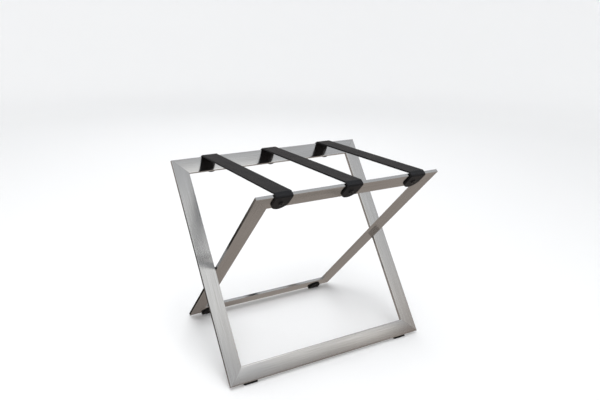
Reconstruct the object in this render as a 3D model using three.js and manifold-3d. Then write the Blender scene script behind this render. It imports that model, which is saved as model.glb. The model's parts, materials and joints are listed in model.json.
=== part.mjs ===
// Folding luggage rack. Two mitred frames of flat steel bar cross as an X and turn on a pair of pins.
// Three leather straps between the top rails carry the load and stop the frames opening too far.
// Millimetres. X runs along the rails, Y from front to back and Z up, with the floor at Z = 0.
import * as THREE from "three";
import { mergeVertices } from "three/addons/utils/BufferGeometryUtils.js";
import Module from "manifold-3d";

// Clearances
const SEAT_GAP = 0.3; // between a piece and what it is seated on
const MITRE_GAP = 0.3; // weld line across each corner of a frame

// Frames of flat bar
const BAR_WIDTH = 40;
const BAR_THICK = 8;
const LEAN_DEGREES = 36.87; // lean of each frame from upright when the rack stands open
const OUTER_WIDTH = 580;
const SIDE_GAP = 3; // from the edge of an outer leg to the edge of the inner leg beside it
const LEG_BELOW_PIVOT = 284;
const LEG_ABOVE_PIVOT = 296;

// Pivots
const PIN_DIAMETER = 5;
const PIN_CHAMFER = 0.5;
const PIN_RECESS = 0.5; // the pin's end lies this far inside the outer leg's edge
const PIN_COVER = 15; // steel left in the inner leg past the end of the pin's bore
const WASHER_DIAMETER = 10;

// Leather straps
const STRAP_WIDTH = 43;
const STRAP_THICK = 4;
const STRAP_INSET = 65; // from the side of the inner frame to the middle of the strap nearest it
const TAB_OVERHANG = 1; // the round end of a strap passes the rail's lower edge by this

// Screws, all with domed heads
const STRAP_SCREW_HEAD = 12;
const STRAP_SCREW_HEAD_HEIGHT = 2.4;
const FOOT_SCREW_HEAD = 8;
const FOOT_SCREW_HEAD_HEIGHT = 1.8;
const SCREW_SHANK = 4;
const SCREW_RIM = 0.8; // straight part of a head, below its dome
const SCREW_COVER = 2.5; // steel left in the bar under a screw's bore

// Rubber feet, wedges on the side of each bottom rail that faces the floor
const FOOT_DROP = 4.4; // from the lowest corner of a frame to the floor
const FOOT_LENGTH = 38;
const FOOT_INSET = 38; // from the side of its frame to the near end of a foot
const FOOT_HEIGHT = 26; // up the rail from its lower edge
const FOOT_SHOULDER = 4; // straight part of a foot's side, up the rail from its lower edge
const FOOT_BASE_THICK = 6;
const FOOT_TOP_THICK = 2.7;
const FOOT_FLOOR = 2; // rubber under a screw's head

// Fineness of round shapes
const ROUND_STEPS = 24;
const CORNER_STEPS = 4;
const DOME_STEPS = 3;
const MERGE_WITHIN = 1e-4;

// What follows from the sizes above
const LEAN = THREE.MathUtils.degToRad(LEAN_DEGREES);
const QUARTER = Math.PI / 2;
const INNER_WIDTH = OUTER_WIDTH - 2 * (BAR_WIDTH + SIDE_GAP);
const BAR_FACE = BAR_THICK / 2;
const LOWEST_CORNER = LEG_BELOW_PIVOT * Math.cos(LEAN) + BAR_FACE * Math.sin(LEAN);
const PIVOT_HEIGHT = LOWEST_CORNER + FOOT_DROP;
const SCREW_BORE_DEPTH = BAR_THICK - SCREW_COVER;
const SCREW_BORE = SCREW_SHANK + 2 * SEAT_GAP;
const PIN_BORE = PIN_DIAMETER + 2 * SEAT_GAP;
const TAB_SCREW_UP = LEG_ABOVE_PIVOT - BAR_WIDTH / 2;
const TAB_TIP_UP = LEG_ABOVE_PIVOT - BAR_WIDTH - TAB_OVERHANG;
const FOOT_SCREW_UP = FOOT_HEIGHT / 2 - LEG_BELOW_PIVOT;
const SIDE_STRAP = INNER_WIDTH / 2 - STRAP_INSET;
const STRAP_PLACES = { left: -SIDE_STRAP, middle: 0, right: SIDE_STRAP };
const SIDES = { left: -1, right: 1 };

// The outer frame's top leans back and the inner frame's top leans forward. face is the side of the
// frame, along its own Y, that carries the feet and the strap ends.
const FRAMES = {
  outer: { width: OUTER_WIDTH, turn: -LEAN, face: 1, feet: "front", straps: "back" },
  inner: { width: INNER_WIDTH, turn: LEAN, face: -1, feet: "back", straps: "front" },
};

const steel = () => new THREE.MeshStandardMaterial({ color: 0xb7b3ae, roughness: 0.34, metalness: 1 });
const blackScrew = () => new THREE.MeshStandardMaterial({ color: 0x1c1c1e, roughness: 0.42, metalness: 0.7 });
const leather = () => new THREE.MeshStandardMaterial({ color: 0x232326, roughness: 0.55, metalness: 0 });
const rubber = () => new THREE.MeshStandardMaterial({ color: 0x101010, roughness: 0.8, metalness: 0 });
const nylon = () => new THREE.MeshStandardMaterial({ color: 0x161616, roughness: 0.5, metalness: 0 });

const wasm = await Module();
wasm.setup();

// A closed surface as a solid that can be cut.
function solidOf(geometry) {
  const bare = geometry.clone();
  bare.deleteAttribute("normal");
  bare.deleteAttribute("uv");
  const merged = mergeVertices(bare, MERGE_WITHIN);
  const mesh = new wasm.Mesh({
    numProp: 3,
    vertProperties: new Float32Array(merged.attributes.position.array),
    triVerts: new Uint32Array(merged.index.array),
  });
  return new wasm.Manifold(mesh);
}

function geometryOf(solid) {
  const mesh = solid.getMesh();
  const geometry = new THREE.BufferGeometry();
  geometry.setAttribute("position", new THREE.BufferAttribute(mesh.vertProperties, 3));
  geometry.setIndex(new THREE.BufferAttribute(mesh.triVerts, 1));
  geometry.computeVertexNormals();
  return geometry;
}

function cut(geometry, tools) {
  const whole = solidOf(geometry);
  return geometryOf(tools.reduce((solid, tool) => solid.subtract(solidOf(tool)), whole));
}

// An outline in X and Z, given a thickness along Y and centred on Y = 0.
function plate(shape, thick) {
  const geometry = new THREE.ExtrudeGeometry(shape, {
    depth: thick,
    bevelEnabled: false,
    curveSegments: ROUND_STEPS,
  });
  geometry.rotateX(QUARTER);
  geometry.translate(0, thick / 2, 0);
  return geometry;
}

// An outline in Y and Z, given a length along X and centred on X = 0.
function section(points, length) {
  const shape = new THREE.Shape(points);
  const geometry = new THREE.ExtrudeGeometry(shape, { depth: length, bevelEnabled: false });
  const toX = new THREE.Matrix4().makeBasis(
    new THREE.Vector3(0, 1, 0),
    new THREE.Vector3(0, 0, 1),
    new THREE.Vector3(1, 0, 0),
  );
  geometry.translate(0, 0, -length / 2);
  geometry.applyMatrix4(toX);
  return geometry;
}

// A round tool for a hole across a bar, from one depth along Y to another.
function boreAcross(diameter, x, z, fromY, toY) {
  const length = Math.abs(toY - fromY);
  const geometry = new THREE.CylinderGeometry(diameter / 2, diameter / 2, length, ROUND_STEPS);
  geometry.translate(x, (fromY + toY) / 2, z);
  return geometry;
}

// A round tool for the pivot hole, along X from one place to another.
function boreAlong(diameter, fromX, toX) {
  const length = Math.abs(toX - fromX);
  const geometry = new THREE.CylinderGeometry(diameter / 2, diameter / 2, length, ROUND_STEPS);
  geometry.rotateZ(QUARTER);
  geometry.translate((fromX + toX) / 2, 0, 0);
  return geometry;
}

function addPiece(parent, name, geometry, material) {
  const mesh = new THREE.Mesh(geometry, material);
  mesh.name = name;
  parent.add(mesh);
  return mesh;
}

// A leg's outline: its outer edge runs the full height and both ends are mitred.
function legOutline(width, side) {
  const outside = (side * width) / 2;
  const inside = outside - side * BAR_WIDTH;
  const ease = MITRE_GAP / Math.SQRT2;
  return new THREE.Shape([
    new THREE.Vector2(outside, -LEG_BELOW_PIVOT + ease),
    new THREE.Vector2(inside, -LEG_BELOW_PIVOT + BAR_WIDTH + ease),
    new THREE.Vector2(inside, LEG_ABOVE_PIVOT - BAR_WIDTH - ease),
    new THREE.Vector2(outside, LEG_ABOVE_PIVOT - ease),
  ]);
}

// A rail's outline: its edge at the end of the legs runs the full width and both ends are mitred.
function railOutline(width, edge, inward) {
  const half = width / 2 - MITRE_GAP / Math.SQRT2;
  const innerEdge = edge + inward * BAR_WIDTH;
  return new THREE.Shape([
    new THREE.Vector2(-half, edge),
    new THREE.Vector2(half, edge),
    new THREE.Vector2(half - BAR_WIDTH, innerEdge),
    new THREE.Vector2(-half + BAR_WIDTH, innerEdge),
  ]);
}

// The pivot hole goes right through an outer leg and ends inside an inner leg.
function pivotHole(frameName, side) {
  const outside = FRAMES[frameName].width / 2;
  const end = frameName === "outer" ? outside - BAR_WIDTH - SIDE_GAP : outside - BAR_WIDTH + PIN_COVER;
  return boreAlong(PIN_BORE, side * end, side * (outside + SIDE_GAP));
}

function addLegs(group, frameName) {
  for (const [sideName, side] of Object.entries(SIDES)) {
    const bar = plate(legOutline(FRAMES[frameName].width, side), BAR_THICK);
    addPiece(group, `${frameName}_${sideName}_leg`, cut(bar, [pivotHole(frameName, side)]), steel());
  }
}

// A blind hole for a screw, in the side of the rail that carries the feet and the strap ends.
function screwHole(face, x, z) {
  const bottom = BAR_FACE - SCREW_BORE_DEPTH;
  return boreAcross(SCREW_BORE, x, z, face * bottom, face * (BAR_FACE + SEAT_GAP));
}

function footPlace(frameName, side) {
  return side * (FRAMES[frameName].width / 2 - FOOT_INSET - FOOT_LENGTH / 2);
}

function addRails(group, frameName) {
  const { width, face } = FRAMES[frameName];
  const top = plate(railOutline(width, LEG_ABOVE_PIVOT, -1), BAR_THICK);
  const bottom = plate(railOutline(width, -LEG_BELOW_PIVOT, 1), BAR_THICK);
  const strapHoles = Object.values(STRAP_PLACES).map((x) => screwHole(face, x, TAB_SCREW_UP));
  const footHoles = Object.values(SIDES).map((side) => {
    return screwHole(face, footPlace(frameName, side), FOOT_SCREW_UP);
  });
  addPiece(group, `${frameName}_top_rail`, cut(top, strapHoles), steel());
  addPiece(group, `${frameName}_bottom_rail`, cut(bottom, footHoles), steel());
}

// A screw along Y with the underside of its domed head at Y = 0 and its shank below.
function screwGeometry(head, headHeight, shankLength) {
  const profile = [
    new THREE.Vector2(0, -shankLength),
    new THREE.Vector2(SCREW_SHANK / 2, -shankLength),
    new THREE.Vector2(SCREW_SHANK / 2, 0),
    new THREE.Vector2(head / 2, 0),
  ];
  for (let step = 0; step < DOME_STEPS; step += 1) {
    const angle = (QUARTER * step) / DOME_STEPS;
    const rise = SCREW_RIM + (headHeight - SCREW_RIM) * Math.sin(angle);
    profile.push(new THREE.Vector2((head / 2) * Math.cos(angle), rise));
  }
  profile.push(new THREE.Vector2(0, headHeight));
  return new THREE.LatheGeometry(profile, ROUND_STEPS);
}

// Places a screw on the side of the frame that carries the feet and the strap ends. grip is what
// lies between the bar and the underside of the head.
function addScrew(group, name, face, x, z, grip, head, headHeight) {
  const shankLength = grip + SCREW_BORE_DEPTH - SEAT_GAP;
  const screw = addPiece(group, name, screwGeometry(head, headHeight, shankLength), blackScrew());
  screw.position.set(x, face * (BAR_FACE + grip), z);
  screw.rotation.x = face > 0 ? 0 : Math.PI;
}

function addStrapScrews(group, frameName) {
  const { face, straps } = FRAMES[frameName];
  const grip = STRAP_THICK + 2 * SEAT_GAP;
  for (const [place, x] of Object.entries(STRAP_PLACES)) {
    const name = `strap_screw_${straps}_${place}`;
    addScrew(group, name, face, x, TAB_SCREW_UP, grip, STRAP_SCREW_HEAD, STRAP_SCREW_HEAD_HEIGHT);
  }
}

// Height along the frame at which the floor meets a line at a given distance from its middle plane.
function floorAt(distance) {
  return (distance * Math.sin(LEAN) - PIVOT_HEIGHT) / Math.cos(LEAN);
}

// A wedge with a level base, round at the top as seen square to the rail, with a sunk screw hole.
function footGeometry() {
  const seat = BAR_FACE + SEAT_GAP;
  const base = seat + FOOT_BASE_THICK;
  const crown = seat + FOOT_TOP_THICK;
  const top = FOOT_HEIGHT - LEG_BELOW_PIVOT;
  const shoulder = FOOT_SHOULDER - LEG_BELOW_PIVOT;
  const wedge = section(
    [
      new THREE.Vector2(seat, floorAt(seat)),
      new THREE.Vector2(base, floorAt(base)),
      new THREE.Vector2(crown, top),
      new THREE.Vector2(seat, top),
    ],
    FOOT_LENGTH,
  );
  const outline = new THREE.Shape();
  outline.moveTo(-FOOT_LENGTH / 2, floorAt(0));
  outline.lineTo(FOOT_LENGTH / 2, floorAt(0));
  outline.lineTo(FOOT_LENGTH / 2, shoulder);
  outline.absellipse(0, shoulder, FOOT_LENGTH / 2, top - shoulder, 0, Math.PI);
  const rounded = solidOf(wedge).intersect(solidOf(plate(outline, 2 * base)));
  const pocketFrom = seat + FOOT_FLOOR;
  return cut(geometryOf(rounded), [
    boreAcross(FOOT_SCREW_HEAD + 2 * SEAT_GAP, 0, FOOT_SCREW_UP, pocketFrom, base),
    boreAcross(SCREW_BORE, 0, FOOT_SCREW_UP, 0, base),
  ]);
}

function addFeet(group, frameName) {
  const { face, feet } = FRAMES[frameName];
  const grip = FOOT_FLOOR + 2 * SEAT_GAP;
  for (const [sideName, side] of Object.entries(SIDES)) {
    const x = footPlace(frameName, side);
    const foot = addPiece(group, `foot_${feet}_${sideName}`, footGeometry(), rubber());
    foot.position.x = x;
    foot.rotation.z = face > 0 ? 0 : Math.PI;
    const screw = `foot_screw_${feet}_${sideName}`;
    addScrew(group, screw, face, x, FOOT_SCREW_UP, grip, FOOT_SCREW_HEAD, FOOT_SCREW_HEAD_HEIGHT);
  }
}

// A pin along X with chamfered ends, from inside the outer leg's edge into the inner leg.
function addPin(group, sideName, side) {
  const outerEnd = OUTER_WIDTH / 2 - PIN_RECESS;
  const innerEnd = INNER_WIDTH / 2 - BAR_WIDTH + PIN_COVER + SEAT_GAP;
  const half = (outerEnd - innerEnd) / 2;
  const radius = PIN_DIAMETER / 2;
  const profile = [
    new THREE.Vector2(0, -half),
    new THREE.Vector2(radius - PIN_CHAMFER, -half),
    new THREE.Vector2(radius, -half + PIN_CHAMFER),
    new THREE.Vector2(radius, half - PIN_CHAMFER),
    new THREE.Vector2(radius - PIN_CHAMFER, half),
    new THREE.Vector2(0, half),
  ];
  const pin = addPiece(group, `pivot_pin_${sideName}`, new THREE.LatheGeometry(profile, ROUND_STEPS), steel());
  pin.rotation.z = QUARTER;
  pin.position.x = (side * (outerEnd + innerEnd)) / 2;
}

// A flat ring round the pin, in the gap between the two legs.
function addWasher(group, sideName, side) {
  const half = SIDE_GAP / 2 - SEAT_GAP;
  const profile = [
    new THREE.Vector2(PIN_BORE / 2, -half),
    new THREE.Vector2(WASHER_DIAMETER / 2, -half),
    new THREE.Vector2(WASHER_DIAMETER / 2, half),
    new THREE.Vector2(PIN_BORE / 2, half),
    new THREE.Vector2(PIN_BORE / 2, -half),
  ];
  const ring = new THREE.LatheGeometry(profile, ROUND_STEPS);
  const washer = addPiece(group, `pivot_washer_${sideName}`, ring, nylon());
  washer.rotation.z = QUARTER;
  washer.position.x = side * (INNER_WIDTH / 2 + SIDE_GAP / 2);
}

function addPivots(group) {
  for (const [sideName, side] of Object.entries(SIDES)) {
    addPin(group, sideName, side);
    addWasher(group, sideName, side);
  }
}

// Points of an arc, both ends included.
function arc(centre, radius, fromAngle, toAngle) {
  return Array.from({ length: CORNER_STEPS + 1 }, (unused, step) => {
    const angle = fromAngle + ((toAngle - fromAngle) * step) / CORNER_STEPS;
    return new THREE.Vector2(centre.x + radius * Math.cos(angle), centre.y + radius * Math.sin(angle));
  });
}

// The line that one surface of a strap follows over the back rail, in Y and Z from the pivot: level
// to the rail's near corner, over its edge, and down its outer side to the strap's end. off is the
// surface's distance from the rail.
function strapLine(off) {
  const along = new THREE.Vector2(Math.sin(LEAN), Math.cos(LEAN));
  const outward = new THREE.Vector2(Math.cos(LEAN), -Math.sin(LEAN));
  const edge = along.clone().multiplyScalar(LEG_ABOVE_PIVOT);
  const nearCorner = edge.clone().addScaledVector(outward, -BAR_FACE);
  const farCorner = edge.clone().addScaledVector(outward, BAR_FACE);
  const tip = along.clone().multiplyScalar(TAB_TIP_UP).addScaledVector(outward, BAR_FACE + off);
  return [
    ...arc(nearCorner, off, QUARTER, QUARTER - LEAN),
    ...arc(farCorner, off, QUARTER - LEAN, -LEAN),
    tip,
  ];
}

// The waste round a strap's half-round end, as a tool in its frame's own place.
function endWaste(frameName) {
  const half = STRAP_WIDTH / 2;
  const centre = TAB_TIP_UP + half;
  const beyond = half + STRAP_THICK;
  const below = TAB_TIP_UP - STRAP_THICK;
  const waste = new THREE.Shape();
  waste.moveTo(-beyond, centre);
  waste.lineTo(-half, centre);
  waste.absarc(0, centre, half, Math.PI, 2 * Math.PI);
  waste.lineTo(beyond, centre);
  waste.lineTo(beyond, below);
  waste.lineTo(-beyond, below);
  const reach = BAR_FACE + 2 * (STRAP_THICK + SEAT_GAP);
  const tool = plate(waste, reach);
  tool.translate(0, (FRAMES[frameName].face * reach) / 2, 0);
  tool.rotateX(FRAMES[frameName].turn);
  return tool;
}

function strapHole(frameName) {
  const { face, turn } = FRAMES[frameName];
  const reach = BAR_FACE + 2 * (STRAP_THICK + SEAT_GAP);
  const tool = boreAcross(SCREW_BORE, 0, TAB_SCREW_UP, 0, face * reach);
  tool.rotateX(turn);
  return tool;
}

function strapGeometry() {
  const outside = strapLine(SEAT_GAP + STRAP_THICK);
  const inside = strapLine(SEAT_GAP);
  const toFront = (point) => new THREE.Vector2(-point.x, point.y);
  const outline = [
    ...outside,
    ...inside.toReversed(),
    ...inside.map(toFront),
    ...outside.map(toFront).toReversed(),
  ];
  const tools = Object.keys(FRAMES).flatMap((name) => [endWaste(name), strapHole(name)]);
  return cut(section(outline, STRAP_WIDTH), tools);
}

function addStraps(group) {
  for (const [place, x] of Object.entries(STRAP_PLACES)) {
    const strap = addPiece(group, `strap_${place}`, strapGeometry(), leather());
    strap.position.x = x;
  }
}

function buildRack() {
  const rack = new THREE.Group();
  const crossing = new THREE.Group();
  crossing.position.z = PIVOT_HEIGHT;
  rack.add(crossing);
  for (const [frameName, frame] of Object.entries(FRAMES)) {
    const group = new THREE.Group();
    group.rotation.x = frame.turn;
    crossing.add(group);
    addLegs(group, frameName);
    addRails(group, frameName);
    addFeet(group, frameName);
    addStrapScrews(group, frameName);
  }
  addPivots(crossing);
  addStraps(crossing);
  return rack;
}

export default buildRack();
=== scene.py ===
# %% [markdown]
# # A folding luggage rack
# The rack is two crossed frames of flat brushed bar that turn on a pair of pins, with three leather
# straps across the top. Its solids are already made, at their real size, and are loaded here as a
# fixed frame. This lesson dresses them: each piece is a surface worked out with numpy, laid exactly
# where its solid is, and given a finish of its own.

# %% Load the frame
import json
import math

import bmesh
import bpy
import numpy as np
from mathutils import Matrix, Vector


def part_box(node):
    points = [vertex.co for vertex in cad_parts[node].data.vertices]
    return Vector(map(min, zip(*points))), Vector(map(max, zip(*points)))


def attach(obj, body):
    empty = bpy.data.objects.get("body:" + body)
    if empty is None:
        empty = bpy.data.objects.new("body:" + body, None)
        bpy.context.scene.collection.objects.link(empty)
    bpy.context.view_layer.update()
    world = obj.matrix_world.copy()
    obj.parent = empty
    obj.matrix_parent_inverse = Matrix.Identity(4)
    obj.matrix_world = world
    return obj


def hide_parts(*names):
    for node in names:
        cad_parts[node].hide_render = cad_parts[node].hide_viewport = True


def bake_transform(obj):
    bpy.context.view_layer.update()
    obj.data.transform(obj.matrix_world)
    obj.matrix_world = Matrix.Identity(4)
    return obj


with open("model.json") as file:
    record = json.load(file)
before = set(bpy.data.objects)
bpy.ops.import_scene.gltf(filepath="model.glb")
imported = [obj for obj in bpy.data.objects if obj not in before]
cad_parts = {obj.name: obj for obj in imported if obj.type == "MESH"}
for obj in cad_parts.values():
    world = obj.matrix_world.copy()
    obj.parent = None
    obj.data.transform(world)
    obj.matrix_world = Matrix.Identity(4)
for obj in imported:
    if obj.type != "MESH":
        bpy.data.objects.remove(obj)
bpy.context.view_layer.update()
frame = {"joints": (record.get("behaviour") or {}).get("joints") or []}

scene = bpy.context.scene

# %% [markdown]
# ## Measuring the frame
# Both frames lean by the same angle from upright, one to the back and one to the front, about a pivot
# line that runs along X. Every place on the rack is easiest to give on a frame of its own: how far
# along X, how far up the legs from the pivot, and how far out from the middle of the bars. The sizes
# could be typed in again, but reading them from the solids keeps the two models the same. Pieces that
# are held against each other keep a hair's gap.

# %% Sizes read from the solids
MM = 0.001
LEAN = math.radians(36.87)
SEAT_GAP = 0.3 * MM
pivot = np.array(frame["joints"][0]["pos_m"])


def solid_corners(node):
    """The lowest and the highest corner of a solid, in metres."""
    low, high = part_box(node)
    return np.array(low), np.array(high)


leg_low, leg_high = solid_corners("outer_left_leg")
rail_low, rail_high = solid_corners("outer_top_rail")
foot_rail_low = solid_corners("outer_bottom_rail")[0]
strap_low, strap_high = solid_corners("strap_middle")

BAR_WIDTH = leg_high[0] - leg_low[0]
BAR_THICK = (rail_high[1] - rail_low[1] - BAR_WIDTH * math.sin(LEAN)) / math.cos(LEAN)
BAR_FACE = BAR_THICK / 2
LEG_ABOVE = (rail_high[2] - pivot[2] - BAR_FACE * math.sin(LEAN)) / math.cos(LEAN)
LEG_BELOW = (pivot[2] - foot_rail_low[2] - BAR_FACE * math.sin(LEAN)) / math.cos(LEAN)
STRAP_WIDTH = strap_high[0] - strap_low[0]
STRAP_THICK = strap_high[2] - rail_high[2] - SEAT_GAP
print(f"bar {BAR_WIDTH / MM:.1f} x {BAR_THICK / MM:.1f} mm")
print(f"legs {LEG_ABOVE / MM:.1f} mm above and {LEG_BELOW / MM:.1f} mm below the pivot")
print(f"straps {STRAP_WIDTH / MM:.1f} x {STRAP_THICK / MM:.1f} mm")

# %% The two leaning frames
inner_leg_low = solid_corners("inner_left_leg")[0]
FRAMES = {
    "outer": {"towards": 1, "half": -leg_low[0], "feet": "front", "straps": "back"},
    "inner": {"towards": -1, "half": -inner_leg_low[0], "feet": "back", "straps": "front"},
}
SIDES = {"left": -1, "right": 1}
ACROSS = np.array([1.0, 0.0, 0.0])


def frame_axes(frame_name):
    """The directions up a frame's legs and out of the side of it that carries feet and strap ends."""
    towards = FRAMES[frame_name]["towards"]
    up_axis = np.array([0, towards * math.sin(LEAN), math.cos(LEAN)])
    out_axis = np.array([0, towards * math.cos(LEAN), -math.sin(LEAN)])
    return up_axis, out_axis


def on_frame(frame_name, x, up, out):
    """Points given on a leaning frame: the pivot, plus x along X, up the legs and out of the frame."""
    up_axis, out_axis = frame_axes(frame_name)
    x, up, out = np.broadcast_arrays(x, up, out)
    return pivot + x[..., None] * ACROSS + up[..., None] * up_axis + out[..., None] * out_axis


for frame_name, facts in FRAMES.items():
    print(frame_name, "frame is", round(2 * facts["half"] / MM, 1), "mm wide")

# %% [markdown]
# ## The camera
# The picture was taken from the front left, a little above the rack, and then cropped. A crop moves
# the middle of the view off the middle of the picture, which a camera repeats with its shift. The
# place, the angles and the focal length were found by fitting the bars' edges to the picture.

# %% Camera at the photograph's angle
IMAGE_WIDTH, IMAGE_HEIGHT = 600, 400
FOCAL_PIXELS = 510.42
VIEW_CENTRE_PIXELS = (195.42, 244.09)
CAMERA_PLACE = np.array([-0.75257, -1.02021, 0.80158])
CAMERA_YAW = math.radians(23.85)
CAMERA_DOWN = math.radians(23.73)
CAMERA_ROLL = math.radians(-0.49)
SENSOR = 36.0


def camera_axes(yaw, down, roll):
    """Right, up and forward of a camera turned from +Y towards +X, tipped down, then rolled."""
    level = math.cos(down)
    forward = np.array([math.sin(yaw) * level, math.cos(yaw) * level, -math.sin(down)])
    right = np.array([math.cos(yaw), -math.sin(yaw), 0])
    up = np.cross(right, forward)
    rolled_right = math.cos(roll) * right + math.sin(roll) * up
    rolled_up = math.cos(roll) * up - math.sin(roll) * right
    return rolled_right, rolled_up, forward


camera_right, camera_up, camera_forward = camera_axes(CAMERA_YAW, CAMERA_DOWN, CAMERA_ROLL)
camera_stand = np.eye(4)
camera_stand[:3] = np.stack([camera_right, camera_up, -camera_forward, CAMERA_PLACE], axis=1)
lens = bpy.data.cameras.new("view")
lens.sensor_width = SENSOR
lens.lens = FOCAL_PIXELS * SENSOR / IMAGE_WIDTH
lens.shift_x = (IMAGE_WIDTH / 2 - VIEW_CENTRE_PIXELS[0]) / IMAGE_WIDTH
lens.shift_y = (VIEW_CENTRE_PIXELS[1] - IMAGE_HEIGHT / 2) / IMAGE_WIDTH
camera = bpy.data.objects.new("view", lens)
camera.matrix_world = Matrix(camera_stand.tolist())
scene.collection.objects.link(camera)
scene.camera = camera
print(f"lens {lens.lens:.1f} mm, shift {lens.shift_x:.3f}, {lens.shift_y:.3f}")

# %% [markdown]
# ## Surfaces from numbers
# Every new piece is a grid of points: a profile repeated along rows. The helpers here turn such a
# grid into a mesh. They join neighbouring points into quads, merge the points that fall together at
# poles and seams, and turn the faces outwards by the sign of the volume that they enclose. For its
# finish, a piece may carry a map of its surface, and marks, which are named numbers at its points.

# %% Quads of a grid


def grid_quads(rows, columns, ring=False):
    """Corners of the quads of a grid whose columns close on themselves, and its rows too in a ring."""
    row = np.arange(rows if ring else rows - 1)[:, None]
    column = np.arange(columns)[None, :]
    next_row, next_column = (row + 1) % rows, (column + 1) % columns
    corners = [
        row * columns + column,
        row * columns + next_column,
        next_row * columns + next_column,
        next_row * columns + column,
    ]
    return np.stack(corners, axis=-1).reshape(-1, 4)


def wrapped(values):
    """Values at the four corners of each quad, where the last column is followed by one more."""
    first, second = values[:-1], values[1:]
    corners = [first[:, :-1], first[:, 1:], second[:, 1:], second[:, :-1]]
    return np.stack(corners, axis=-1).reshape(-1)


def enclosed(points, quads):
    """Volume inside closed quads: the sum over their triangles of the corners' triple product."""
    a, b, c, d = (points[quads[:, k]] for k in range(4))
    return (np.cross(a, b) * c + np.cross(a, c) * d).sum() / 6


print("3 rows of 4 points make", len(grid_quads(3, 4)), "quads")

# %% From a grid of points to an object
MERGE_WITHIN = 1e-7
SMOOTH_UP_TO = math.radians(40)


def add_map(mesh, u, v, flipped):
    """Gives a mesh its map, from U and V at each row and at each column plus one."""
    corners = np.stack([wrapped(u), wrapped(v)], axis=-1).reshape(-1, 4, 2)
    if flipped:
        corners = corners[:, ::-1]
    layer = mesh.uv_layers.new(name="surface")
    layer.data.foreach_set("uv", corners.astype(np.float32).ravel())


def make_piece(name, grid, ring=False, u=None, v=None, marks=None):
    """A mesh object from points [row, column, xyz], with a map if U and V are given, and its marks."""
    rows, columns = grid.shape[:2]
    points = grid.reshape(-1, 3)
    quads = grid_quads(rows, columns, ring)
    flipped = enclosed(points, quads) < 0
    if flipped:
        quads = quads[:, ::-1]
    mesh = bpy.data.meshes.new(name)
    mesh.from_pydata(points.tolist(), [], quads.tolist())
    if u is not None:
        add_map(mesh, u, v, flipped)
    for mark, values in (marks or {}).items():
        layer = mesh.attributes.new(mark, "FLOAT", "POINT")
        numbers = np.broadcast_to(values, (rows, columns))
        layer.data.foreach_set("value", numbers.astype(np.float32).ravel())
    shape = bmesh.new()
    shape.from_mesh(mesh)
    bmesh.ops.remove_doubles(shape, verts=shape.verts, dist=MERGE_WITHIN)
    shape.to_mesh(mesh)
    shape.free()
    mesh.shade_smooth()
    mesh.set_sharp_from_angle(angle=SMOOTH_UP_TO)
    piece = bpy.data.objects.new(name, mesh)
    scene.collection.objects.link(piece)
    return piece


def dress(piece, material, node, body=None):
    """Gives a piece its finish, hides the solid that it stands for, and lets it ride on a body."""
    piece.data.materials.append(material)
    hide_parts(node)
    if body:
        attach(piece, body)
    return piece


print("edges stay sharp from", round(math.degrees(SMOOTH_UP_TO)), "degrees on")

# %% [markdown]
# ## Nodes by hand
# A finish is a tree of shader nodes. In the editor they are joined with the mouse, and a script needs
# several lines for each. These helpers say it once: a node with its inputs, an eased value, a mix of
# two colours, simple sums and a raised surface.

# %% Helpers for shader nodes


def feed(tree, node, inputs):
    """Sets a node's inputs to values, or joins them to the outputs of other nodes."""
    for key, value in inputs.items():
        if isinstance(value, bpy.types.NodeSocket):
            tree.links.new(value, node.inputs[key])
        else:
            node.inputs[key].default_value = value


def add_node(tree, kind, inputs=None, **settings):
    """A shader node with its settings and its inputs."""
    node = tree.nodes.new("ShaderNode" + kind)
    for key, value in settings.items():
        setattr(node, key, value)
    feed(tree, node, inputs or {})
    return node


def new_material(name):
    """A material, its tree of nodes and its shader."""
    material = bpy.data.materials.new(name)
    material.use_nodes = True
    return material, material.node_tree, material.node_tree.nodes["Principled BSDF"]


def object_place(tree):
    """Where a point of the surface lies on its object."""
    return add_node(tree, "TexCoord").outputs["Object"]


def mark_of(tree, mark):
    """A number that is stored at the points of the mesh."""
    return add_node(tree, "Attribute", attribute_name=mark).outputs["Fac"]


def combine(tree, operation, first, second, kind="Math"):
    """Two numbers, or two vectors axis by axis, added, subtracted or multiplied."""
    return add_node(tree, kind, {0: first, 1: second}, operation=operation).outputs[0]


def length_of(tree, vector):
    """The length of a vector."""
    return add_node(tree, "VectorMath", {0: vector}, operation="LENGTH").outputs["Value"]


def ramp(tree, value, low, high, to_low=0.0, to_high=1.0):
    """A value eased from one range into another."""
    inputs = {"Value": value, "From Min": low, "From Max": high, "To Min": to_low, "To Max": to_high}
    return add_node(tree, "MapRange", inputs, interpolation_type="SMOOTHSTEP").outputs[0]


def mix_colour(tree, share, first, second, blend="MIX"):
    """Two colours mixed by a share from 0 to 1."""
    inputs = {0: share, 6: first, 7: second}
    return add_node(tree, "Mix", inputs, data_type="RGBA", blend_type=blend).outputs[2]


def bump(tree, height, strength, depth, sunk=False):
    """A surface raised by a height, or sunk by it."""
    inputs = {"Height": height, "Strength": strength, "Distance": depth}
    return add_node(tree, "Bump", inputs, invert=sunk)


print("helpers for nodes are ready")

# %% [markdown]
# ## The studio
# Brushed steel has little colour of its own: what it shows is the room. The room here is a wide bowl
# of white paper, with a soft glow all round that is lighter above, and warmer and dimmer below. Soft
# patches in the glow stand for what the bars mirror: lamps and warm, dim zones at the front, windows
# on all four sides, the shade under the rack, and a dark zone behind, low and to the left, for the
# bars' narrow sides. The bowl is left out of reflections, so that the glow alone decides what the
# steel shows. Far from the rack the paper glows by itself, which keeps the backdrop white, and two
# large panels put soft shadows on the floor.

# %% Floor that rises into a backdrop
FLOOR_RADIUS = 5.0
FLOOR_RINGS = [0, 1, 2, 3.5]
BACKDROP_RADIUS = 3.0
BACKDROP_HEIGHT = 8.0
BACKDROP_ROWS = 24
BACKDROP_COLUMNS = 96


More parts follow.
